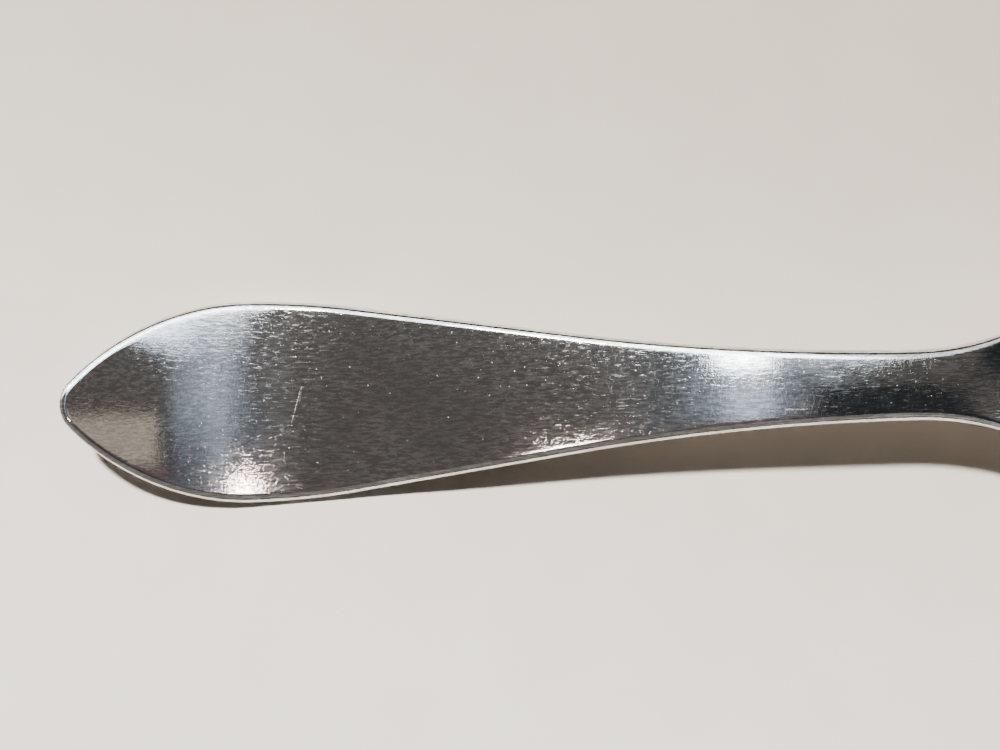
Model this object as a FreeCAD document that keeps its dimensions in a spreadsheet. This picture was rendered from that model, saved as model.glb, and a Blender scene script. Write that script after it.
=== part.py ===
import FreeCAD, Part
import math
import os
import Sketcher

# Honey spoon, one piece of silver. Millimetres.
# +X runs from the handle's tip to the lip of the bowl, +Z is up, and the spoon lies as it rests on a
# table: the leaf of the handle and the floor of the bowl touch z = 0. The origin is under the middle of
# its length. The sketches measure X from the tip, and the body's placement then moves them.

V = FreeCAD.Vector

# The outline from above, in arcs that run into each other, and the shape of the edge.
DRIVING = {
    "length": 141.8,
    "tip_radius": 3.9,
    "leaf_radius": 22.5,
    "leaf_half": 10.75,
    "leaf_back_radius": 73.0,
    "taper_angle": 8.9,
    "waist_at": 87.0,
    "waist_half": 3.6,
    "throat_radius": 30.0,
    "throat_angle": 15.0,
    "shoulder_radius": 14.0,
    "shoulder_angle": 50.0,
    "bowl_back_radius": 19.0,
    "lip_radius": 12.3,
    "bevel": 0.55,
    "bevel_drop": 0.75,
    "foot": 0.2,
}

# The side view and the dishing. Each row is: the place from the tip, the height of the upper face on the
# middle line, the thickness there, and the radius across the upper face and across the lower face,
# hollow above zero and domed below zero. A curve runs through the rows.
SIDE_VIEW = [
    (-2.0, 8.60, 1.30, -150.0, -400.0),
    (3.0, 6.10, 1.40, -150.0, -400.0),
    (8.0, 4.17, 1.45, -150.0, -400.0),
    (13.0, 2.80, 1.50, -150.0, -400.0),
    (19.0, 1.86, 1.50, -150.0, -400.0),
    (25.0, 1.72, 1.50, -150.0, -400.0),
    (31.0, 2.32, 1.50, -140.0, -400.0),
    (38.0, 3.50, 1.52, -125.0, -400.0),
    (50.0, 5.36, 1.58, -90.0, -300.0),
    (60.0, 6.86, 1.64, -66.0, -220.0),
    (69.0, 7.98, 1.70, -50.0, -160.0),
    (78.0, 8.75, 1.78, -38.0, -110.0),
    (87.0, 9.06, 1.85, -30.0, -60.0),
    (95.0, 8.25, 1.75, 36.0, 42.0),
    (98.0, 7.21, 1.67, 16.5, 17.9),
    (101.0, 5.96, 1.60, 17.6, 19.0),
    (104.0, 4.68, 1.52, 22.0, 23.3),
    (107.0, 3.52, 1.45, 24.0, 25.3),
    (113.0, 1.85, 1.30, 25.0, 26.3),
    (120.0, 1.30, 1.30, 25.0, 26.3),
    (127.5, 2.05, 1.30, 25.0, 26.3),
    (135.0, 4.05, 1.30, 24.0, 25.3),
    (144.0, 8.20, 1.30, 24.0, 25.3),
]

# Where the cross sections are drawn: close together where the outline turns round an end, and in the bowl.
PLACES = [0.04, 0.2, 0.5, 0.9, 1.5, 2.3, 3.3, 4.5, 6.0, 7.8, 10.0, 12.5, 15.0, 17.5, 20.0, 23.0, 26.5,
          30.5, 35.0, 40.0, 46.0, 53.0, 60.0, 67.0, 73.0, 78.5, 83.0, 87.0, 89.5, 91.5, 93.3, 95.0,
          96.5, 98.0, 99.5, 101.0, 102.7, 104.5, 106.5, 108.6, 110.8, 113.0, 115.2, 117.5, 119.8,
          122.0, 124.3, 126.5, 128.6, 130.6, 132.4, 134.0, 135.5, 136.9, 138.1, 139.1, 139.9, 140.6,
          141.1, 141.45, 141.67]

D = DRIVING

# The smallest turn of a face, so that a nearly flat one still has a radius, how much of a very small
# section its bevels take, and what is left of their height at the very ends.
FLATTEST_TURN = 0.001
BEVEL_SHARE = 0.6
FOOT_SHARE = 0.3
END_SHARE = 0.4


def spline(places, heights):
    """The smooth curve through the given heights, straight at its two ends."""
    count = len(places)
    step = [b - a for a, b in zip(places, places[1:])]
    slope = [(b - a) / run for a, b, run in zip(heights, heights[1:], step)]
    ratio, part, bend = [0.0] * count, [0.0] * count, [0.0] * count
    for i in range(1, count - 1):
        pivot = 2 * (step[i - 1] + step[i]) - step[i - 1] * ratio[i - 1]
        ratio[i] = step[i] / pivot
        part[i] = (6 * (slope[i] - slope[i - 1]) - step[i - 1] * part[i - 1]) / pivot
    for i in range(count - 2, 0, -1):
        bend[i] = part[i] - ratio[i] * bend[i + 1]

    def height(place):
        i = max(k for k in range(count - 1) if k == 0 or places[k] <= place)
        run, back, ahead = step[i], place - places[i], places[i + 1] - place
        cubic = (bend[i] * ahead ** 3 + bend[i + 1] * back ** 3) / (6 * run)
        return (cubic + (heights[i] / run - bend[i] * run / 6) * ahead
                + (heights[i + 1] / run - bend[i + 1] * run / 6) * back)
    return height


columns = list(zip(*SIDE_VIEW))
crown = spline(columns[0], columns[1])
thickness = spline(columns[0], columns[2])
upper_turn = spline(columns[0], [1 / radius for radius in columns[3]])
lower_turn = spline(columns[0], [1 / radius for radius in columns[4]])

# The joints of the outline's arcs, from the tip to the lip.
taper = math.radians(D["taper_angle"])
throat_turn, shoulder_turn = math.radians(D["throat_angle"]), math.radians(D["shoulder_angle"])
tip_reach = D["leaf_radius"] - D["tip_radius"]
leaf_at = D["tip_radius"] + math.sqrt(tip_reach ** 2 - (D["leaf_radius"] - D["leaf_half"]) ** 2)
tip_end = D["tip_radius"] - D["tip_radius"] * (leaf_at - D["tip_radius"]) / tip_reach
flank_at = leaf_at + D["leaf_back_radius"] * math.sin(taper)
flank_half = D["leaf_half"] - D["leaf_back_radius"] * (1 - math.cos(taper))
waist_gap = flank_half - math.tan(taper) * (D["waist_at"] - flank_at) - D["waist_half"]
waist_radius = waist_gap * math.cos(taper) / (math.cos(taper) - 1)
waist_from = D["waist_at"] - waist_radius * math.sin(taper)
throat_to = D["waist_at"] + D["throat_radius"] * math.sin(throat_turn)
throat_half = D["waist_half"] + D["throat_radius"] * (1 - math.cos(throat_turn))
shoulder_centre = (throat_to - D["shoulder_radius"] * math.sin(throat_turn),
                   throat_half + D["shoulder_radius"] * math.cos(throat_turn))
shoulder_to = shoulder_centre[0] + D["shoulder_radius"] * math.sin(shoulder_turn)
shoulder_half = shoulder_centre[1] - D["shoulder_radius"] * math.cos(shoulder_turn)
bowl_at = shoulder_to + D["bowl_back_radius"] * math.sin(shoulder_turn)
bowl_half = shoulder_half + D["bowl_back_radius"] * (1 - math.cos(shoulder_turn))
lip_centre = D["length"] - D["lip_radius"]
side_gap = (lip_centre - bowl_at) ** 2 + bowl_half ** 2 - D["lip_radius"] ** 2
side_radius = side_gap / (2 * (bowl_half - D["lip_radius"]))
lip_from = lip_centre + D["lip_radius"] * (lip_centre - bowl_at) / (side_radius - D["lip_radius"])

# Each arc: where it ends, where its centre is along the spoon, the half width at its top or bottom, and
# its radius, above zero where it is hollow.
ARCS = [
    (tip_end, D["tip_radius"], D["tip_radius"], -D["tip_radius"]),
    (leaf_at, leaf_at, D["leaf_half"], -D["leaf_radius"]),
    (flank_at, leaf_at, D["leaf_half"], -D["leaf_back_radius"]),
    (waist_from, None, None, None),
    (D["waist_at"], D["waist_at"], D["waist_half"], waist_radius),
    (throat_to, D["waist_at"], D["waist_half"], D["throat_radius"]),
    (shoulder_to, shoulder_centre[0], shoulder_centre[1] - D["shoulder_radius"], D["shoulder_radius"]),
    (bowl_at, bowl_at, bowl_half, -D["bowl_back_radius"]),
    (lip_from, bowl_at, bowl_half, -side_radius),
    (D["length"], lip_centre, D["lip_radius"], -D["lip_radius"]),
]


def bow(radius, run):
    """How far an arc rises above its middle, or falls below it where the radius is below zero."""
    return math.copysign(abs(radius) - math.sqrt(radius ** 2 - run ** 2), radius)


def half_width(place):
    """Half the spoon's width at a place from the tip."""
    for end, centre, middle, radius in ARCS:
        if place <= end:
            break
    if radius is None:
        return flank_half - math.tan(taper) * (place - flank_at)
    return middle + bow(radius, place - centre)


def section_sizes(place):
    """The sizes of one cross section. Within the bevel's reach of an end, the section is lower."""
    half = half_width(place)
    short = max(0.0, 1 - min(place, D["length"] - place) / D["bevel"])
    bevel, foot = min(D["bevel"], BEVEL_SHARE * half), min(D["foot"], FOOT_SHARE * half)
    lower_part = 1 - (1 - END_SHARE) * short
    turns = [math.copysign(max(abs(turn(place)), FLATTEST_TURN), turn(place))
             for turn in (upper_turn, lower_turn)]
    return {
        "at": place,
        "half": half,
        "crown": crown(place) - D["bevel_drop"] * short,
        "thick": thickness(place) - (D["bevel_drop"] + D["foot"]) * short,
        "upper_radius": 1 / turns[0],
        "lower_radius": 1 / turns[1],
        "bevel": bevel,
        "drop": D["bevel_drop"] * bevel / D["bevel"] * lower_part,
        "foot": foot * lower_part,
    }


doc = FreeCAD.newDocument("honey_spoon")
sizes = doc.addObject("Spreadsheet::Sheet", "sizes")
rows = dict(DRIVING)
sections = {f"section_{number}": section_sizes(place) for number, place in enumerate(PLACES, 1)}
for name, section in sections.items():
    rows.update({f"{name}_{size}": abs(value) for size, value in section.items()})
for number, (name, value) in enumerate(rows.items(), 1):
    sizes.set(f"A{number}", str(value))
    sizes.setAlias(f"A{number}", name)
doc.recompute()

body = doc.addObject("PartDesign::Body", "spoon_body")
body.Label = "honey_spoon"
body.setExpression("Placement.Base.x", "-sizes.length / 2")
cross_plane = next(f for f in body.Origin.OriginFeatures if f.Role == "YZ_Plane")


def section_sketch(name, section):
    """An arc above, an arc below, and at each side a bevel, a short upright and a small bevel under it."""
    sketch = body.newObject("Sketcher::SketchObject", f"{name}_sketch")
    sketch.AttachmentSupport = [(cross_plane, "")]
    sketch.MapMode = "FlatFace"
    sketch.setExpression("AttachmentOffset.Base.z", f"sizes.{name}_at")

    def cell(size):
        return f"sizes.{name}_{size}"

    def bowed(face, inset):
        sign = "+" if section[f"{face}_radius"] > 0 else "-"
        run = f"({cell('half')} - {cell(inset)})"
        return f"{sign} ({cell(face + '_radius')} - sqrt({cell(face + '_radius')}^2 - {run}^2))"

    top = section["crown"] + bow(section["upper_radius"], section["half"] - section["bevel"])
    underside = section["crown"] - section["thick"]
    low = underside + bow(section["lower_radius"], section["half"] - section["foot"])
    top_rule = f"{cell('crown')} {bowed('upper', 'bevel')}"
    low_rule = f"{cell('crown')} - {cell('thick')} {bowed('lower', 'foot')}"
    corners = [
        (section["half"] - section["bevel"], top, f"({cell('half')} - {cell('bevel')})", top_rule),
        (section["half"], top - section["drop"], cell("half"), f"{top_rule} - {cell('drop')}"),
        (section["half"], low + section["foot"], cell("half"), f"{low_rule} + {cell('foot')}"),
        (section["half"] - section["foot"], low, f"({cell('half')} - {cell('foot')})", low_rule),
    ]

    def bind(kind, line, end, value, rule):
        number = sketch.addConstraint(Sketcher.Constraint(kind, -1, 1, line, end, value))
        sketch.setExpression(f"Constraints[{number}]", rule)

    def join(first, first_end, second, second_end):
        sketch.addConstraint(Sketcher.Constraint("Coincident", first, first_end, second, second_end))

    edges = {}
    for side in (1, -1):
        points = [V(side * across, height, 0) for across, height, _, _ in corners]
        lines = [sketch.addGeometry(Part.LineSegment(a, b)) for a, b in zip(points, points[1:])]
        for first, second in zip(lines, lines[1:]):
            join(first, 2, second, 1)
        for line, end, (across, height, across_rule, height_rule) in zip(
                (lines[0], lines[0], lines[1], lines[2]), (1, 2, 2, 2), corners):
            bind("DistanceX", line, end, side * across, f"{side} * {across_rule}")
            bind("DistanceY", line, end, height, height_rule)
        edges[side] = lines, points
    for face, line, end, point in (("upper", 0, 1, 0), ("lower", 2, 2, 3)):
        radius = section[f"{face}_radius"]
        middle = section["crown"] if face == "upper" else underside
        right, left = edges[1][1][point], edges[-1][1][point]
        first, last = (left, right) if radius > 0 else (right, left)
        arc = sketch.addGeometry(Part.Arc(first, V(0, middle, 0), last))
        join(arc, 1, edges[-1 if radius > 0 else 1][0][line], end)
        join(arc, 2, edges[1 if radius > 0 else -1][0][line], end)
        number = sketch.addConstraint(Sketcher.Constraint("Radius", arc, abs(radius)))
        sketch.setExpression(f"Constraints[{number}]", cell(f"{face}_radius"))
    return sketch


sketches = [section_sketch(name, section) for name, section in sections.items()]
spoon = body.newObject("PartDesign::AdditiveLoft", "spoon")
spoon.Profile = sketches[0]
spoon.Sections = sketches[1:]
spoon.Ruled = True
doc.recompute()

for item in doc.Objects:
    if "Invalid" in item.State or "Error" in item.State:
        raise SystemExit(f"{item.Name} failed: {item.State}")
shape = body.Shape
if shape.isNull() or not shape.isValid() or len(shape.Solids) != 1:
    raise SystemExit("the spoon isn't one valid solid")
print(f"volume {shape.Volume:.1f} mm3, box {shape.optimalBoundingBox()}")

os.makedirs("parts", exist_ok=True)
shape.exportStep("parts/honey_spoon.step")
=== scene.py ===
import math

import bpy
from mathutils import Matrix, Vector


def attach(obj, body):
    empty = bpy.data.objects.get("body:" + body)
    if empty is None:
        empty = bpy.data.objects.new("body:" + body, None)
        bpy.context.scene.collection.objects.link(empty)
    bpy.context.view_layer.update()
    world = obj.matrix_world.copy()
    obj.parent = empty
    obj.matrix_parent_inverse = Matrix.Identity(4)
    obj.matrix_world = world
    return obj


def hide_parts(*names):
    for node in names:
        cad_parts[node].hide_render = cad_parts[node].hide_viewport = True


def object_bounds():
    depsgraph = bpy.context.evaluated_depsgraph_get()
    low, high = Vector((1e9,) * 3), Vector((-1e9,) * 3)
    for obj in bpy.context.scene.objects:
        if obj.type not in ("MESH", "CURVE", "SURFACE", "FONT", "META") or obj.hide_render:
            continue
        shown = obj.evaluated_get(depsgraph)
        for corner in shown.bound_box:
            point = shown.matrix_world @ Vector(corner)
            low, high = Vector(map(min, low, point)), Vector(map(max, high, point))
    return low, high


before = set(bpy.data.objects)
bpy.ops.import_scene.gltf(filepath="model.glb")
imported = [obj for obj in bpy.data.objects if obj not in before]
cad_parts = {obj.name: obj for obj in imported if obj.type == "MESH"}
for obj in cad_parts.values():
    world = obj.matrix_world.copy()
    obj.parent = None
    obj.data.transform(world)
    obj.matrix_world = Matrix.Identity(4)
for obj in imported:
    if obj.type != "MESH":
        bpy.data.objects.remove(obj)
cad_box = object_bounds()

# The spoon itself: one blank of sterling silver, cut to a leaf, a narrow waist and an egg, then hammered
# hollow over a stake so that the bowl is dished and the handle springs up from the leaf to the neck. Its
# upper edges are filed round, more on the handle than round the bowl, and the lower ones only eased.

# The outline from above, in arcs that run into each other. Millimetres, and X is measured from the tip.
MM = 0.001
LENGTH = 141.8
TIP_RADIUS = 3.9
LEAF_RADIUS, LEAF_HALF, LEAF_BACK_RADIUS = 22.5, 10.75, 73.0
TAPER = math.radians(8.9)
WAIST_AT, WAIST_HALF = 87.0, 3.6
THROAT_RADIUS, THROAT_TURN = 30.0, math.radians(15.0)
SHOULDER_RADIUS, SHOULDER_TURN = 14.0, math.radians(50.0)
BOWL_BACK_RADIUS, LIP_RADIUS = 19.0, 12.3

# Each row: the place, the height of the upper face on the middle line, the thickness there, and the
# radius across the upper and the lower face, hollow above zero and domed below zero.
SIDE_VIEW = [
    (-2.0, 8.60, 1.30, -150.0, -400.0),
    (3.0, 6.10, 1.40, -150.0, -400.0),
    (8.0, 4.17, 1.45, -150.0, -400.0),
    (13.0, 2.80, 1.50, -150.0, -400.0),
    (19.0, 1.86, 1.50, -150.0, -400.0),
    (25.0, 1.72, 1.50, -150.0, -400.0),
    (31.0, 2.32, 1.50, -140.0, -400.0),
    (38.0, 3.50, 1.52, -125.0, -400.0),
    (50.0, 5.36, 1.58, -90.0, -300.0),
    (60.0, 6.86, 1.64, -66.0, -220.0),
    (69.0, 7.98, 1.70, -50.0, -160.0),
    (78.0, 8.75, 1.78, -38.0, -110.0),
    (87.0, 9.06, 1.85, -30.0, -60.0),
    (95.0, 8.25, 1.75, 36.0, 42.0),
    (98.0, 7.21, 1.67, 16.5, 17.9),
    (101.0, 5.96, 1.60, 17.6, 19.0),
    (104.0, 4.68, 1.52, 22.0, 23.3),
    (107.0, 3.52, 1.45, 24.0, 25.3),
    (113.0, 1.85, 1.30, 25.0, 26.3),
    (120.0, 1.30, 1.30, 25.0, 26.3),
    (127.5, 2.05, 1.30, 25.0, 26.3),
    (135.0, 4.05, 1.30, 24.0, 25.3),
    (144.0, 8.20, 1.30, 24.0, 25.3),
]

tip_reach = LEAF_RADIUS - TIP_RADIUS
leaf_at = TIP_RADIUS + math.sqrt(tip_reach ** 2 - (LEAF_RADIUS - LEAF_HALF) ** 2)
tip_end = TIP_RADIUS - TIP_RADIUS * (leaf_at - TIP_RADIUS) / tip_reach
flank_at = leaf_at + LEAF_BACK_RADIUS * math.sin(TAPER)
flank_half = LEAF_HALF - LEAF_BACK_RADIUS * (1 - math.cos(TAPER))
waist_gap = flank_half - math.tan(TAPER) * (WAIST_AT - flank_at) - WAIST_HALF
waist_radius = waist_gap * math.cos(TAPER) / (math.cos(TAPER) - 1)
waist_from = WAIST_AT - waist_radius * math.sin(TAPER)
throat_to = WAIST_AT + THROAT_RADIUS * math.sin(THROAT_TURN)
throat_half = WAIST_HALF + THROAT_RADIUS * (1 - math.cos(THROAT_TURN))
shoulder_x = throat_to - SHOULDER_RADIUS * math.sin(THROAT_TURN)
shoulder_y = throat_half + SHOULDER_RADIUS * math.cos(THROAT_TURN)
shoulder_to = shoulder_x + SHOULDER_RADIUS * math.sin(SHOULDER_TURN)
shoulder_half = shoulder_y - SHOULDER_RADIUS * math.cos(SHOULDER_TURN)
bowl_at = shoulder_to + BOWL_BACK_RADIUS * math.sin(SHOULDER_TURN)
bowl_half = shoulder_half + BOWL_BACK_RADIUS * (1 - math.cos(SHOULDER_TURN))
lip_centre = LENGTH - LIP_RADIUS
side_gap = (lip_centre - bowl_at) ** 2 + bowl_half ** 2 - LIP_RADIUS ** 2
side_radius = side_gap / (2 * (bowl_half - LIP_RADIUS))
lip_from = lip_centre + LIP_RADIUS * (lip_centre - bowl_at) / (side_radius - LIP_RADIUS)

# Each arc: its centre, its radius (hollow above zero) and where it begins and ends. The straight taper
# of the handle lies between the third arc and the fourth.
ARCS = [
    (TIP_RADIUS, 0.0, -TIP_RADIUS, 0.0, tip_end),
    (leaf_at, LEAF_HALF - LEAF_RADIUS, -LEAF_RADIUS, tip_end, leaf_at),
    (leaf_at, LEAF_HALF - LEAF_BACK_RADIUS, -LEAF_BACK_RADIUS, leaf_at, flank_at),
    (WAIST_AT, WAIST_HALF + waist_radius, waist_radius, waist_from, WAIST_AT),
    (WAIST_AT, WAIST_HALF + THROAT_RADIUS, THROAT_RADIUS, WAIST_AT, throat_to),
    (shoulder_x, shoulder_y, SHOULDER_RADIUS, throat_to, shoulder_to),
    (bowl_at, bowl_half - BOWL_BACK_RADIUS, -BOWL_BACK_RADIUS, shoulder_to, bowl_at),
    (bowl_at, bowl_half - side_radius, -side_radius, bowl_at, lip_from),
    (lip_centre, 0.0, -LIP_RADIUS, lip_from, LENGTH),
]
TAPER_FOLLOWS = 2
OUTLINE_STEP = 0.5
LARGEST_TURN = math.radians(3.0)


def outline_points():
    """Half the outline from the tip to the lip, as points with the direction square to the edge."""
    points = []
    for number, (centre_x, centre_y, radius, start, end) in enumerate(ARCS):
        first = math.asin(max(-1.0, min(1.0, (start - centre_x) / abs(radius))))
        last = math.asin(max(-1.0, min(1.0, (end - centre_x) / abs(radius))))
        run = abs(radius) * (last - first)
        count = max(round(run / OUTLINE_STEP), math.ceil((last - first) / LARGEST_TURN), 2)
        for step in range(count + (number == len(ARCS) - 1)):
            turn = first + (last - first) * step / count
            side = -1 if radius > 0 else 1
            points.append((centre_x + abs(radius) * math.sin(turn),
                           centre_y + side * abs(radius) * math.cos(turn),
                           side * math.sin(turn), math.cos(turn)))
        if number == TAPER_FOLLOWS:
            steps = round((waist_from - flank_at) / OUTLINE_STEP)
            for step in range(steps):
                place = flank_at + (waist_from - flank_at) * step / steps
                points.append((place, flank_half - math.tan(TAPER) * (place - flank_at),
                               math.sin(TAPER), math.cos(TAPER)))
    return points


def spline(places, heights):
    """The smooth curve through the given heights, straight at its two ends."""
    count = len(places)
    step = [b - a for a, b in zip(places, places[1:])]
    slope = [(b - a) / run for a, b, run in zip(heights, heights[1:], step)]
    ratio, part, bend = [0.0] * count, [0.0] * count, [0.0] * count
    for i in range(1, count - 1):
        pivot = 2 * (step[i - 1] + step[i]) - step[i - 1] * ratio[i - 1]
        ratio[i] = step[i] / pivot
        part[i] = (6 * (slope[i] - slope[i - 1]) - step[i - 1] * part[i - 1]) / pivot
    for i in range(count - 2, 0, -1):
        bend[i] = part[i] - ratio[i] * bend[i + 1]

    def height(place):
        i = max(k for k in range(count - 1) if k == 0 or places[k] <= place)
        run, back, ahead = step[i], place - places[i], places[i + 1] - place
        cubic = (bend[i] * ahead ** 3 + bend[i + 1] * back ** 3) / (6 * run)
        return (cubic + (heights[i] / run - bend[i] * run / 6) * ahead
                + (heights[i + 1] / run - bend[i + 1] * run / 6) * back)
    return height


columns = list(zip(*SIDE_VIEW))
crown = spline(columns[0], columns[1])
thickness = spline(columns[0], columns[2])
upper_turn = spline(columns[0], [1 / radius for radius in columns[3]])
lower_turn = spline(columns[0], [1 / radius for radius in columns[4]])


def dish(turn, across):
    """How far a face with this turn (one over its radius) has risen at a distance from the middle."""
    return turn * across ** 2 / (1 + math.sqrt(1 - (turn * across) ** 2))


def upper_face(place, across):
    return crown(place) + dish(upper_turn(place), across)


def lower_face(place, across):
    return crown(place) - thickness(place) + dish(lower_turn(place), across)


# The radii of the edges, and into how many flats a round and a rib across the spoon are split.
HANDLE_ROUND, BOWL_ROUND, EASED = 0.95, 0.5, 0.22
ROUND_STEPS, EASED_STEPS, RIB_STEPS = 9, 4, 44


def edge_round(place):
    """The radius of the filed upper edge: it narrows from the neck into the bowl."""
    share = min(1.0, max(0.0, (place - WAIST_AT) / (bowl_at - WAIST_AT)))
    share = share * share * (3 - 2 * share)
    return HANDLE_ROUND + (BOWL_ROUND - HANDLE_ROUND) * share


edges = []
for place, half, out_x, out_y in outline_points():
    filed = edge_round(place)
    pair = []
    for side in (1, -1):
        column = []
        for step in range(ROUND_STEPS + 1):
            turn = math.pi / 2 * (1 - step / ROUND_STEPS)
            inset = filed * (1 - math.cos(turn))
            x, y = place - out_x * inset, max(0.0, half - out_y * inset)
            column.append((x, side * y, upper_face(x, y) - filed * (1 - math.sin(turn))))
        for step in range(EASED_STEPS + 1):
            turn = math.pi / 2 * step / EASED_STEPS
            inset = EASED * (1 - math.cos(turn))
            x, y = place - out_x * inset, max(0.0, half - out_y * inset)
            column.append((x, side * y, lower_face(x, y) + EASED * (1 - math.sin(turn))))
        pair.append(column)
    edges.append(pair)

verts, faces = [], []
numbers = {}


def point(x, y, z):
    """The number of a point of the skin: points on the middle line are shared by both sides."""
    key = (round(x, 6), round(y, 6), round(z, 6))
    if key not in numbers:
        numbers[key] = len(verts)
        verts.append((cad_box[0][0] + (cad_box[1][0] - cad_box[0][0]) * x / LENGTH,
                      cad_box[1][1] * y / bowl_half, z * MM))
    return numbers[key]


def skin(corners):
    """A face of the skin. Where the ends run out into a point, it has three corners or none."""
    kept = [c for c, before in zip(corners, corners[-1:] + corners[:-1]) if c != before]
    if len(set(kept)) > 2:
        faces.append(kept)


hoops = []
for left, right in edges:
    ribs = []
    for face, (x, y, _) in ((upper_face, left[0]), (lower_face, left[-1])):
        ribs.append([point(x, y * (1 - 2 * k / RIB_STEPS), face(x, abs(y * (1 - 2 * k / RIB_STEPS))))
                     for k in range(RIB_STEPS + 1)])
    down_left = [point(*corner) for corner in left[1:-1]]
    down_right = [point(*corner) for corner in right[1:-1]]
    hoops.append(ribs[0] + down_right + ribs[1][::-1] + down_left[::-1])

for here, there in zip(hoops, hoops[1:]):
    count = len(here)
    for k in range(count):
        skin([here[k], here[(k + 1) % count], there[(k + 1) % count], there[k]])

mesh = bpy.data.meshes.new("honey_spoon_silver")
mesh.from_pydata(verts, [], faces)
mesh.validate()
mesh.update()
for polygon in mesh.polygons:
    polygon.use_smooth = True

# The polish runs along the spoon, so the map's first direction is across it.
MAP_SCALE = 5.0
brushing = mesh.uv_layers.new(name="brushing")
for loop in mesh.loops:
    x, y, _ = mesh.vertices[loop.vertex_index].co
    brushing.data[loop.index].uv = (0.5 + MAP_SCALE * y, 0.5 + MAP_SCALE * x)
spoon = bpy.data.objects.new("honey_spoon_silver", mesh)
bpy.context.collection.objects.link(spoon)


def bare_finish(name):
    """A new material without nodes. What node() and links make from here on goes into it."""
    global nodes, links
    finish = bpy.data.materials.new(name)
    finish.use_nodes = True
    nodes, links = finish.node_tree.nodes, finish.node_tree.links
    nodes.clear()
    return finish


def node(kind, **settings):
    """A new node of this kind in the material that is being made."""
    made = nodes.new(kind)
    for name, value in settings.items():
        setattr(made, name, value)
    return made


def reckon(operation, first, second, clamp=False):
    """One step of arithmetic on values from other nodes or on plain numbers."""
    made = node("ShaderNodeMath", operation=operation, use_clamp=clamp)
    for socket, value in zip(made.inputs, (first, second)):
        if isinstance(value, (int, float)):
            socket.default_value = value
        else:
            links.new(value, socket)
    return made.outputs[0]


def ramp(value, low, high, at_low=0.0, at_high=1.0):
    """A value that passes smoothly from one number to another between these two limits."""
    made = node("ShaderNodeMapRange", clamp=True, interpolation_type="SMOOTHSTEP")
    links.new(value, made.inputs["Value"])
    for name, number in (("From Min", low), ("From Max", high), ("To Min", at_low), ("To Max", at_high)):
        made.inputs[name].default_value = number
    return made.outputs["Result"]


silver = bare_finish("worn_silver")
place_on_spoon = node("ShaderNodeTexCoord").outputs["Object"]


def grain(along, across, detail=2.0, turn=0.0, shift=0.0, roughness=0.5):
    """Noise with this many blotches to the millimetre along and across, turned about the vertical."""
    turned = node("ShaderNodeMapping", vector_type="POINT")
    turned.inputs["Rotation"].default_value = (0.0, 0.0, math.radians(turn))
    turned.inputs["Location"].default_value = (shift, shift * 0.7, 0.0)
    links.new(place_on_spoon, turned.inputs["Vector"])
    stretched = node("ShaderNodeMapping", vector_type="POINT")
    stretched.inputs["Scale"].default_value = (along / MM, across / MM, across / MM)
    links.new(turned.outputs["Vector"], stretched.inputs["Vector"])
    noise = node("ShaderNodeTexNoise", noise_dimensions="3D")
    noise.inputs["Scale"].default_value = 1.0
    noise.inputs["Detail"].default_value = detail
    noise.inputs["Roughness"].default_value = roughness
    links.new(stretched.outputs["Vector"], noise.inputs["Vector"])
    return noise.outputs["Fac"]


def cells(along, across, turn=0.0, shift=0.0):
    """Scattered points, one to a cell: how near the closest is, and a number of its own."""
    turned = node("ShaderNodeMapping", vector_type="POINT")
    turned.inputs["Rotation"].default_value = (0.0, 0.0, math.radians(turn))
    links.new(place_on_spoon, turned.inputs["Vector"])
    stretched = node("ShaderNodeMapping", vector_type="POINT")
    stretched.inputs["Scale"].default_value = (along / MM, across / MM, 1.0)
    stretched.inputs["Location"].default_value = (shift, shift * 0.7, 0.0)
    links.new(turned.outputs["Vector"], stretched.inputs["Vector"])
    scattered = node("ShaderNodeTexVoronoi", voronoi_dimensions="2D", feature="F1")
    scattered.inputs["Scale"].default_value = 1.0
    links.new(stretched.outputs["Vector"], scattered.inputs["Vector"])
    own = node("ShaderNodeSeparateColor")
    links.new(scattered.outputs["Color"], own.inputs["Color"])
    return scattered.outputs["Distance"], own.outputs["Red"]


def hair_lines(length, width, turn, shift, share):
    """Short straight scratches of one direction, in millimetres, in this share of the places."""
    near, own = cells(0.5 / length, 0.5 / width, turn, shift)
    return reckon("MULTIPLY", ramp(near, 0.04, 0.30, 1.0, 0.0), ramp(own, 1 - share, 1.0))


# The polish runs lengthwise, with cross brushing on the neck and a fine grain over all of it. On top lie
# short hair lines of many directions, each with its length, width, turn, seed and how common it is.
polish = grain(0.6, 3.8, 3.0, 0.0, 0.0, 0.7)
cross_polish = grain(3.2, 1.3, 3.0, 6.0, 5.0, 0.7)
fine_grain = grain(6.0, 7.0, 2.0, 0.0, 9.0, 0.6)
scratches = hair_lines(1.1, 0.075, 1.0, 1.0, 0.34)
for length, width, turn, shift, share in (
        (0.6, 0.07, -7.0, 2.0, 0.34), (2.0, 0.07, 9.0, 3.0, 0.16), (0.4, 0.07, 31.0, 4.0, 0.16),
        (0.6, 0.07, -38.0, 5.0, 0.14), (0.4, 0.07, 86.0, 6.0, 0.20), (2.4, 0.07, -71.0, 7.0, 0.05)):
    scratches = reckon("MAXIMUM", scratches, hair_lines(length, width, turn, shift, share))

# Small nicks, and smaller ones closer together.
near_speck, own_speck = cells(1.2, 1.2, 20.0, 2.5)
specks = reckon("MULTIPLY", ramp(near_speck, 0.04, 0.13, 1.0, 0.0), ramp(own_speck, 0.88, 1.0))
near_dot, own_dot = cells(2.8, 2.8, -15.0, 4.5)
specks = reckon("MAXIMUM", specks, reckon("MULTIPLY", ramp(near_dot, 0.05, 0.17, 0.6, 0.0),
                                          ramp(own_dot, 0.80, 1.0)))


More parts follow.
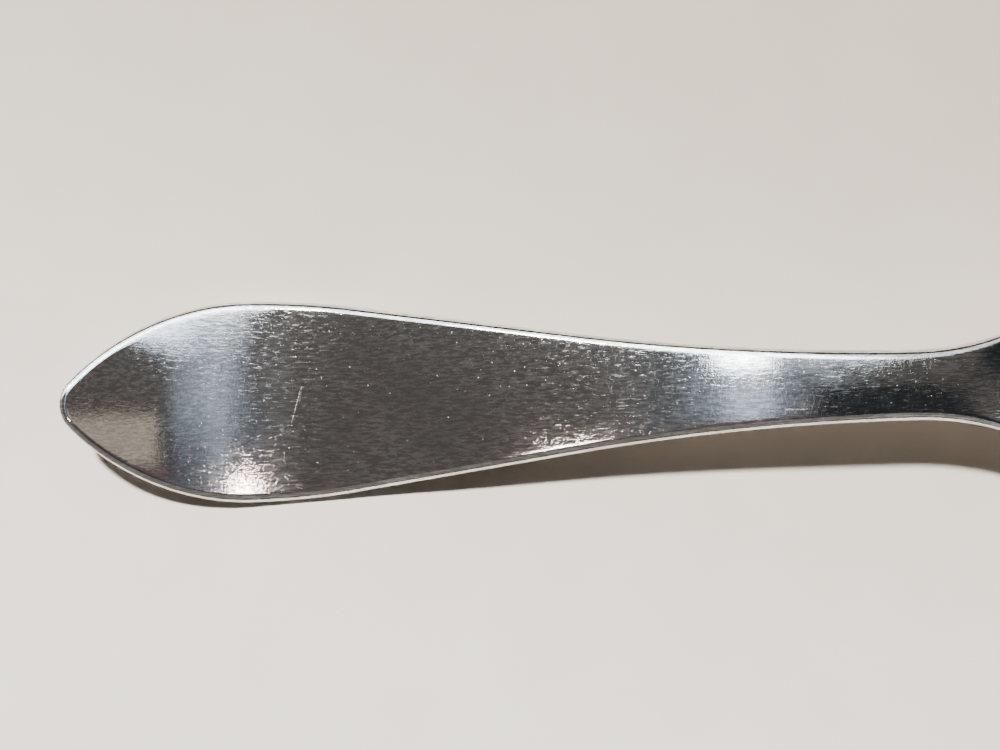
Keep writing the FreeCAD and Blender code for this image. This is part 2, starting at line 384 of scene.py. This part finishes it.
def from_place(x, y, turn):
    """How far along and across a mark at this place and turn, in millimetres."""
    moved = node("ShaderNodeMapping", vector_type="TEXTURE")
    moved.inputs["Location"].default_value = (x * MM, y * MM, 0.0)
    moved.inputs["Rotation"].default_value = (0.0, 0.0, math.radians(turn))
    moved.inputs["Scale"].default_value = (MM, MM, MM)
    links.new(place_on_spoon, moved.inputs["Vector"])
    parts = node("ShaderNodeSeparateXYZ")
    links.new(moved.outputs["Vector"], parts.inputs["Vector"])
    return (reckon("ABSOLUTE", parts.outputs["X"], 0.0), reckon("ABSOLUTE", parts.outputs["Y"], 0.0))


# The longer marks of use: a scratch across the leaf that ends in a smear, and short ones on the neck.
# Each row: the place, the turn, half the length, half the width and the depth.
MARKS = [
    (-47.6, -0.6, 74.0, 2.3, 0.07, 0.8),
    (-47.1, 0.6, 80.0, 1.1, 0.10, 0.4),
    (-48.4, -3.4, -10.0, 1.3, 0.55, 0.25),
    (3.9, -2.2, 1.0, 1.5, 0.13, 0.8),
    (7.5, 1.0, -2.0, 1.0, 0.12, 0.7),
    (-3.5, 0.4, -4.0, 1.2, 0.10, 0.4),
]
marks = 0.0
for x, y, turn, half_length, half_width, depth in MARKS:
    along, across = from_place(x, y, turn)
    mark = reckon("MULTIPLY", ramp(along, half_length * 0.6, half_length, depth, 0.0),
                  ramp(across, half_width * 0.3, half_width, 1.0, 0.0))
    marks = reckon("MAXIMUM", marks, mark)
marks = reckon("MULTIPLY", marks, ramp(fine_grain, 0.32, 0.55, 0.25, 1.0))

# The colour: bright silver, a little darker in the streaks of the polish and under a faint tarnish.
DULL_SILVER, BRIGHT_SILVER = (0.55, 0.53, 0.51, 1.0), (0.97, 0.96, 0.945, 1.0)
tarnish = grain(0.05, 0.09, 4.0, 20.0, 7.0, 0.6)
shade = node("ShaderNodeMix", data_type="RGBA", blend_type="MIX")
shade.inputs["A"].default_value = DULL_SILVER
shade.inputs["B"].default_value = BRIGHT_SILVER
streaks = reckon("MULTIPLY", ramp(polish, 0.42, 0.60, 0.1, 1.0), ramp(tarnish, 0.30, 0.62, 0.3, 1.0))
links.new(streaks, shade.inputs["Factor"])

# Wear is heaviest where the spoon is held and where it leans: on the leaf and on the neck.
along_spoon = node("ShaderNodeSeparateXYZ")
links.new(place_on_spoon, along_spoon.inputs["Vector"])
worn_leaf = reckon("MULTIPLY", ramp(along_spoon.outputs["X"], -0.064, -0.055, 0.25, 1.0),
                   ramp(along_spoon.outputs["X"], -0.051, -0.040, 1.0, 0.30))
worn_neck = ramp(along_spoon.outputs["X"], -0.034, -0.012, 0.2, 1.0)
worn = reckon("MAXIMUM", worn_leaf, worn_neck)
scuffs = reckon("MAXIMUM", ramp(grain(1.0, 4.6, 2.0, 1.0, 13.0), 0.54, 0.70),
                reckon("MULTIPLY", ramp(grain(4.6, 1.2, 2.0, 3.0, 17.0), 0.54, 0.72, 0.0, 0.6), worn_neck))
scuffs = reckon("MULTIPLY", scuffs, worn)

# The gloss: almost a mirror, duller in the scuffs, the nicks and the marks.
roughness = reckon("ADD", ramp(fine_grain, 0.3, 0.7, 0.035, 0.075), ramp(tarnish, 0.3, 0.7, 0.015, 0.0))
roughness = reckon("ADD", roughness, reckon("MULTIPLY", scuffs, 0.11), True)
roughness = reckon("ADD", roughness, reckon("MULTIPLY", specks, 0.18), True)
roughness = reckon("ADD", roughness, reckon("MULTIPLY", marks, 0.22), True)

# The relief: a hundredth of a millimetre of scratches, over the faint waves that the hammer left.
RELIEF, WAVES = 0.012 * MM, 0.05 * MM
surface = reckon("ADD", reckon("MULTIPLY", polish, 0.75),
                 reckon("MULTIPLY", cross_polish, ramp(worn_neck, 0.2, 1.0, 0.45, 0.6)))
surface = reckon("ADD", surface, reckon("MULTIPLY", fine_grain, 0.25))
surface = reckon("SUBTRACT", surface, reckon("MULTIPLY", scratches, 0.22))
surface = reckon("SUBTRACT", surface, reckon("MULTIPLY", specks, 0.40))
surface = reckon("MULTIPLY", surface, ramp(worn, 0.2, 1.0, 0.4, 1.0))
relief = node("ShaderNodeBump")
relief.inputs["Strength"].default_value = 1.0
relief.inputs["Distance"].default_value = RELIEF
links.new(surface, relief.inputs["Height"])
beaten = node("ShaderNodeBump")
beaten.inputs["Strength"].default_value = 0.5
beaten.inputs["Distance"].default_value = WAVES
links.new(grain(0.10, 0.16, 1.0, 0.0, 11.0), beaten.inputs["Height"])
links.new(relief.outputs["Normal"], beaten.inputs["Normal"])

metal = node("ShaderNodeBsdfPrincipled")
metal.inputs["Metallic"].default_value = 1.0
metal.inputs["Anisotropic"].default_value = 0.3
links.new(shade.outputs["Result"], metal.inputs["Base Color"])
links.new(roughness, metal.inputs["Roughness"])
links.new(beaten.outputs["Normal"], metal.inputs["Normal"])
across_spoon = node("ShaderNodeTangent", direction_type="UV_MAP", uv_map="brushing")
links.new(across_spoon.outputs["Tangent"], metal.inputs["Tangent"])
finish_node = node("ShaderNodeOutputMaterial")
links.new(metal.outputs["BSDF"], finish_node.inputs["Surface"])
mesh.materials.append(silver)

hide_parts("honey_spoon")
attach(spoon, "root")

# The table that the spoon lies on: a smooth board under matt pale paint with a faint mottling. Shade is
# painted into the paint's colour: it darkens towards the far side, as a table does away from a window.
TABLE_HALF = 4.0
TABLE_GAP = 0.00002
PALE_PAINT, PALER_PAINT = (0.785, 0.72, 0.645, 1.0), (0.815, 0.75, 0.675, 1.0)
FAR_PAINTED_SHADE = (0.57, 0.54, 0.50, 1.0)
table_mesh = bpy.data.meshes.new("table_top")
table_mesh.from_pydata([(-TABLE_HALF, -TABLE_HALF, 0), (TABLE_HALF, -TABLE_HALF, 0),
                        (TABLE_HALF, TABLE_HALF, 0), (-TABLE_HALF, TABLE_HALF, 0)], [], [(0, 1, 2, 3)])
table_top = bpy.data.objects.new("table_top", table_mesh)
table_top.location.z = cad_box[0][2] - TABLE_GAP
bpy.context.collection.objects.link(table_top)
paint = bare_finish("table_paint")
coat = node("ShaderNodeBsdfPrincipled")
links.new(coat.outputs["BSDF"], node("ShaderNodeOutputMaterial").inputs["Surface"])
coat.inputs["Roughness"].default_value = 0.75
coat.inputs["Specular IOR Level"].default_value = 0.2
mottle = node("ShaderNodeTexNoise")
mottle.inputs["Scale"].default_value = 90.0
mottle.inputs["Detail"].default_value = 5.0
links.new(node("ShaderNodeTexCoord").outputs["Object"], mottle.inputs["Vector"])
paint_shade = node("ShaderNodeMix", data_type="RGBA")
paint_shade.inputs["A"].default_value = PALE_PAINT
paint_shade.inputs["B"].default_value = PALER_PAINT
links.new(ramp(mottle.outputs["Fac"], 0.3, 0.7), paint_shade.inputs["Factor"])
table_place = node("ShaderNodeSeparateXYZ")
links.new(node("ShaderNodeTexCoord").outputs["Object"], table_place.inputs["Vector"])
# Painted shade: the board's colour darkens towards the far side and a little to the right, in place of
# light falling off there.
towards_far = reckon("ADD", reckon("MULTIPLY", table_place.outputs["X"], 0.25), table_place.outputs["Y"])
far_painted_shade = node("ShaderNodeMix", data_type="RGBA")
far_painted_shade.inputs["A"].default_value = (1.0, 1.0, 1.0, 1.0)
far_painted_shade.inputs["B"].default_value = FAR_PAINTED_SHADE
links.new(ramp(towards_far, -0.055, 0.050), far_painted_shade.inputs["Factor"])
# The board's colour: the mottled paint times the painted shade.
board_tone_and_painted_shade = node("ShaderNodeMix", data_type="RGBA", blend_type="MULTIPLY")
board_tone_and_painted_shade.inputs["Factor"].default_value = 1.0
links.new(paint_shade.outputs["Result"], board_tone_and_painted_shade.inputs["A"])
links.new(far_painted_shade.outputs["Result"], board_tone_and_painted_shade.inputs["B"])
links.new(board_tone_and_painted_shade.outputs["Result"], coat.inputs["Base Color"])
table_mesh.materials.append(paint)

# The light: one small soft lamp, high on the far side and to the left, which throws the spoon's shadow,
# and a weak even sky that only fills it.
TOWARDS_KEY = Vector((-0.25, 0.60, 1.0)).normalized()
LAMP_AWAY, LAMP_WIDTH = 1.3, 0.10
key_data = bpy.data.lights.new("key_lamp", "AREA")
key_data.shape = "DISK"
key_data.size = LAMP_WIDTH
key_data.energy = 58.0
key_data.color = (1.0, 0.98, 0.95)
key_lamp = bpy.data.objects.new("key_lamp", key_data)
key_lamp.location = TOWARDS_KEY * LAMP_AWAY
key_lamp.rotation_euler = TOWARDS_KEY.to_track_quat("Z", "Y").to_euler()
bpy.context.collection.objects.link(key_lamp)

sky = bpy.data.worlds.new("studio")
sky.use_nodes = True
backdrop = sky.node_tree.nodes["Background"]
backdrop.inputs["Color"].default_value = (0.93, 0.93, 0.92, 1.0)
backdrop.inputs["Strength"].default_value = 0.055
bpy.context.scene.world = sky

# The wall round the table: a plain pale ring of painted board. It closes the picture in the low views,
# and neither lights the spoon nor shows in it.
WALL_RADIUS, WALL_FOOT, WALL_TOP, WALL_SIDES = 1.5, -0.01, 1.5, 96
wall_turns = [math.tau * k / WALL_SIDES for k in range(WALL_SIDES)]
wall_mesh = bpy.data.meshes.new("pale_wall")
wall_mesh.from_pydata([(WALL_RADIUS * math.cos(turn), WALL_RADIUS * math.sin(turn), z)
                       for z in (WALL_FOOT, WALL_TOP) for turn in wall_turns], [],
                      [(k, (k + 1) % WALL_SIDES, WALL_SIDES + (k + 1) % WALL_SIDES, WALL_SIDES + k)
                       for k in range(WALL_SIDES)])
pale_wall = bpy.data.objects.new("pale_wall", wall_mesh)
bpy.context.collection.objects.link(pale_wall)
wall_paint = bare_finish("wall_paint")
wall_glow = node("ShaderNodeEmission")
wall_glow.inputs["Color"].default_value = (1.0, 0.975, 0.94, 1.0)
wall_glow.inputs["Strength"].default_value = 1.6
links.new(wall_glow.outputs["Emission"], node("ShaderNodeOutputMaterial").inputs["Surface"])
wall_mesh.materials.append(wall_paint)
pale_wall.visible_diffuse = False
pale_wall.visible_glossy = False
pale_wall.visible_shadow = False


# What the silver mirrors: cards over the table, which only reflections show. Dark ones lie overhead, pale
# ones with soft borders hang below them and on the far side, and a small warm lamp shines on the leaf. The
# handle's tip and the neck stand at other angles than the leaf, so some of theirs hang low.
def card(name, x, y, height, colour, strength, soft=0.0):
    """A flat card above the table from x[0] to x[1] and y[0] to y[1], in millimetres."""
    card_mesh = bpy.data.meshes.new(name)
    card_mesh.from_pydata([(x[0] * MM, y[0] * MM, 0), (x[1] * MM, y[0] * MM, 0), (x[1] * MM, y[1] * MM, 0),
                           (x[0] * MM, y[1] * MM, 0)], [], [(0, 1, 2, 3)])
    piece = bpy.data.objects.new(name, card_mesh)
    piece.location.z = height * MM
    bpy.context.collection.objects.link(piece)
    glow = bare_finish(name)
    lit = node("ShaderNodeEmission")
    lit.inputs["Color"].default_value = (*colour, 1.0)
    lit.inputs["Strength"].default_value = strength
    out = node("ShaderNodeOutputMaterial")
    if soft:
        parts = node("ShaderNodeSeparateXYZ")
        links.new(node("ShaderNodeTexCoord").outputs["Object"], parts.inputs["Vector"])
        shown = 1.0
        for axis, (low, high) in (("X", x), ("Y", y)):
            for border, inward in ((low, soft), (high, -soft)):
                shown = reckon("MULTIPLY", shown, ramp(parts.outputs[axis], border * MM,
                                                       (border + inward) * MM))
        through = node("ShaderNodeMixShader")
        links.new(shown, through.inputs["Fac"])
        links.new(node("ShaderNodeBsdfTransparent").outputs["BSDF"], through.inputs[1])
        links.new(lit.outputs["Emission"], through.inputs[2])
        links.new(through.outputs["Shader"], out.inputs["Surface"])
    else:
        links.new(lit.outputs["Emission"], out.inputs["Surface"])
    card_mesh.materials.append(glow)
    piece.visible_camera = False
    piece.visible_shadow = False
    piece.visible_diffuse = False


DARK_BROWN, BLUE_BLACK = (0.118, 0.109, 0.103), (0.027, 0.031, 0.036)
GREY, COOL, BEIGE = (0.162, 0.159, 0.162), (0.72, 0.84, 1.0), (0.37, 0.33, 0.28)
WHITE, WARM, PLUM = (0.88, 0.95, 1.0), (1.0, 0.84, 0.77), (0.17, 0.12, 0.13)
ROSE, SLATE, INK = (1.0, 0.66, 0.66), (0.13, 0.14, 0.15), (0.030, 0.034, 0.038)
HIGH, LOW, LAMP_LEVEL, LOWEST = 700, 150, 136, 60

# The room beyond the table, and the dark ceiling over it.
card("outer_left", (-4000, -450), (-3500, 1500), HIGH + 8, (0.34, 0.33, 0.32), 1.0)
card("outer_right", (450, 4000), (-3500, -420), HIGH + 8, (0.40, 0.39, 0.38), 1.0)
card("outer_near", (-450, 450), (-3500, -420), HIGH + 8, (0.26, 0.24, 0.22), 1.0)
card("overhead_dark", (-450, 65), (-420, 1100), HIGH + 4, DARK_BROWN, 1.0)
card("right_far_dark", (65, 2500), (0, 1100), HIGH + 4, DARK_BROWN, 1.0)
card("right_near_black", (65, 2500), (-420, 0), HIGH + 4, BLUE_BLACK, 1.0)
card("overhead_grey", (-190, -40), (-300, 205), HIGH + 3, GREY, 1.0, 60)

# The pale band across the leaf, brightest where it is slatted like a blind.
card("leaf_pale", (-100, 150), (-260, 40), HIGH + 2, COOL, 0.20, 50)
card("leaf_middle", (-60, 150), (-70, 140), HIGH + 1, COOL, 0.56, 65)
SLATS, FIRST_SLAT, SLAT_STEP, SLAT_WIDTH = 6, -170, 56, 34
for slat in range(SLATS):
    low = FIRST_SLAT + SLAT_STEP * slat
    card("leaf_blind_%d" % slat, (0, 52), (low, low + SLAT_WIDTH), HIGH - 1, COOL, 1.3, 11)
card("leaf_far", (-62, 200), (100, 300), HIGH, COOL, 1.0, 30)

# The window on the far side, which the leaf's and the neck's far edges mirror.
card("far_window", (-110, 260), (200, 1400), HIGH - 3, WHITE, 9.0, 30)
card("far_window_edge", (-40, 200), (155, 240), HIGH - 4, WHITE, 4.5, 20)
card("far_window_left", (-1500, -80), (310, 1400), HIGH - 3, WHITE, 5.0, 30)
card("far_window_right", (180, 1500), (230, 1400), HIGH - 3, WHITE, 1.6, 40)

# What the curled tip mirrors, and the warm lamp near the leaf's near edge.
card("tip_far", (-30, -6), (29, 64), LOW, COOL, 5.0, 4)
card("tip_beige", (-16, 32), (-24, -2), LOW, BEIGE, 1.5, 1.2)
card("tip_plum", (-22, 32), (-60, -22), LOW - 1, PLUM, 1.0, 3)
card("warm_glow", (-62, -36), (-46, -26), LAMP_LEVEL + 1, ROSE, 0.5, 6)
card("warm_lamp", (-53, -47), (-41, -34.5), LAMP_LEVEL, WARM, 190.0, 1.5)

# What the neck mirrors: a bright streak on grey, with black towards the bowl.
card("neck_base", (-22, 14), (-14, 20), LOWEST + 1, SLATE, 1.0, 4)
card("neck_dark", (10, 40), (-16, 3), LOWEST + 2, INK, 1.0, 3)
card("neck_pale", (-15, 11), (-13, 16), LOWEST, COOL, 0.38, 7)
card("neck_streak", (-6.5, 5), (-12, 16), LOWEST - 0.5, COOL, 1.15, 3)
card("neck_side_far", (-3, 17), (5.5, 17), LOWEST - 1, COOL, 0.95, 5)
card("neck_glint", (-8, 5), (6.5, 30), LOWEST - 2, WHITE, 16.0, 4)

# The camera: nearly straight above the handle, a little towards the near side, and turned a degree or so.
# The focal length is in pixels of a picture 1000 wide. One pixel covers the span, in millimetres.
PICTURE_WIDTH = 1000
FOCAL_PIXELS = 1200.0
SPAN = 0.105
AIM = Vector((-25.9 * MM, 2.15 * MM, 3.0 * MM))
LEAN, TURN = math.radians(2.0), math.radians(-1.35)
lens = bpy.data.cameras.new("camera")
lens.sensor_width = 36.0
lens.lens = lens.sensor_width * FOCAL_PIXELS / PICTURE_WIDTH
lens.clip_start = 0.005
camera = bpy.data.objects.new("camera", lens)
stand = Matrix.Rotation(TURN, 4, "Z") @ Matrix.Rotation(LEAN, 4, "X")
camera.matrix_world = Matrix.Translation(AIM + stand @ Vector((0, 0, FOCAL_PIXELS * SPAN * MM))) @ stand
bpy.context.collection.objects.link(camera)
bpy.context.scene.camera = camera
